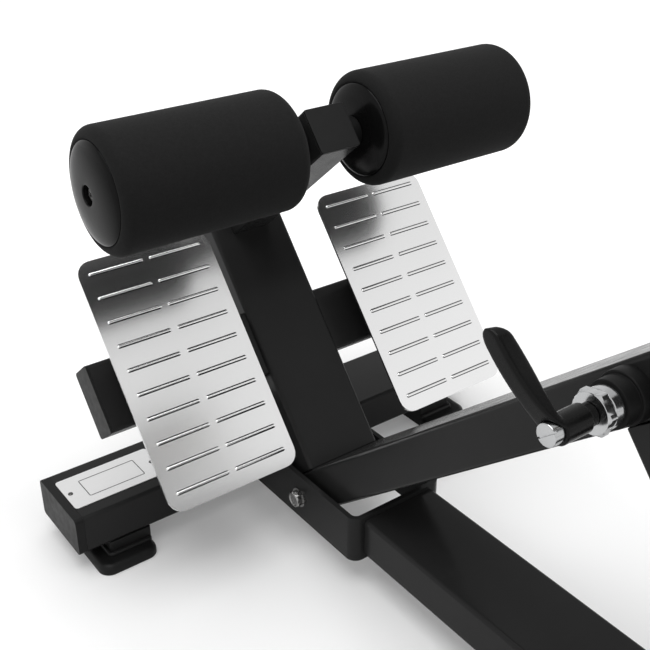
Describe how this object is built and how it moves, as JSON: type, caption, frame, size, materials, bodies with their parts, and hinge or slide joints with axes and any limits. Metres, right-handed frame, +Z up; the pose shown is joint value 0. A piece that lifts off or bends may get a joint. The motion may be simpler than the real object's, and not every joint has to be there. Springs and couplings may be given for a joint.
{
  "type": "hyperextension bench",
  "caption": "Inclined back-extension bench with ribbed foot plates, foam ankle rollers, a clamped telescopic beam and thigh pads.",
  "frame": {"origin": "middle of the footprint's box on the floor, under the centre plane of the bench", "axes": "+Y from the foot end to the pad end, +X to the user's right, +Z up"},
  "size_m": [0.61, 1.1848, 0.8679],
  "materials": {
    "frame_paint": "satin black powder coat with a fine orange peel",
    "end_plug": "moulded black plastic",
    "foot_rubber": "black moulded rubber",
    "zinc_steel": "bright zinc-plated steel",
    "name_plate_aluminium": "bare satin aluminium",
    "axle_chrome": "polished chrome",
    "roller_foam": "matt black closed-cell foam",
    "roller_cap": "glossy black moulded plastic",
    "plate_stainless": "satin stainless steel with pressed ribs",
    "lever_black": "textured black die-cast lever",
    "grip_rubber": "ribbed black rubber grip",
    "pad_plywood": "birch plywood",
    "pad_vinyl": "black grained upholstery vinyl over foam"
  },
  "bodies": {
    "frame": {"rear_cross_tube": "frame_paint", "front_cross_tube": "frame_paint", "cross_tube_caps": "end_plug", "rear_right_foot": "foot_rubber", "rear_left_foot": "foot_rubber", "front_right_foot": "foot_rubber", "front_left_foot": "foot_rubber", "foot_screws": "zinc_steel", "name_plate": "name_plate_aluminium", "name_plate_rivets": "name_plate_aluminium", "foot_bracket": "frame_paint", "main_tube": "frame_paint", "joint_plate": "frame_paint", "strut": "frame_paint", "beam_tube": "frame_paint", "beam_end_plate": "frame_paint", "post_tube": "frame_paint", "post_cap": "end_plug", "foot_sleeve": "zinc_steel", "foot_bolt": "zinc_steel", "foot_bolt_nut": "zinc_steel", "roller_arm": "frame_paint", "roller_arm_cap": "end_plug", "roller_axle": "axle_chrome", "axle_collars": "frame_paint", "axle_end_screws": "zinc_steel", "right_plate_arm": "frame_paint", "left_plate_arm": "frame_paint", "plate_arm_caps": "end_plug", "right_plate_bracket": "frame_paint", "left_plate_bracket": "frame_paint", "right_foot_plate": "plate_stainless", "left_foot_plate": "plate_stainless", "plate_bolts": "zinc_steel", "clamp_boss": "frame_paint", "clamp_nut": "axle_chrome", "beam_guide": "end_plug"},
    "pad_carriage": {"inner_tube": "axle_chrome", "inner_tube_glide": "end_plug", "inner_tube_cap": "end_plug", "pad_mast": "frame_paint", "pad_support": "frame_paint", "handle_bar": "frame_paint", "handle_grips": "grip_rubber", "pad_boards": "pad_plywood", "right_pad": "pad_vinyl", "left_pad": "pad_vinyl", "pad_bolts": "zinc_steel"},
    "clamp_pin": {"clamp_pin": "zinc_steel"},
    "clamp_lever": {"clamp_lever": "lever_black", "lever_screw": "axle_chrome"},
    "right_roller": {"right_roller_core": "zinc_steel", "right_roller_foam": "roller_foam", "right_roller_inner_cap": "roller_cap", "right_roller_outer_cap": "roller_cap"},
    "left_roller": {"left_roller_core": "zinc_steel", "left_roller_foam": "roller_foam", "left_roller_inner_cap": "roller_cap", "left_roller_outer_cap": "roller_cap"}
  },
  "joints": [
    {"name": "pad_slide", "type": "slide", "parent": "frame", "child": "pad_carriage", "axis": [0, 0.7615, 0.6481], "range_m": [-0.15, 0]},
    {"name": "lever_turn", "type": "hinge", "parent": "clamp_pin", "child": "clamp_lever", "pos_m": [0.12, 0.08787, 0.42076], "axis": [1, 0, 0], "range_deg": [0, 90]},
    {"name": "pin_press", "type": "slide", "parent": "frame", "child": "clamp_pin", "axis": [1, 0, 0], "range_m": [0, 0.001]},
    {"name": "right_roller_spin", "type": "hinge", "parent": "frame", "child": "right_roller", "pos_m": [0.155, -0.37522, 0.48164], "axis": [1, 0, 0], "continuous": true},
    {"name": "left_roller_spin", "type": "hinge", "parent": "frame", "child": "left_roller", "pos_m": [-0.155, -0.37522, 0.48164], "axis": [1, 0, 0], "continuous": true}
  ],
  "couplings": [
    {"joint": "pin_press", "follows": "lever_turn", "m_per_rad": 0.000636}
  ]
}
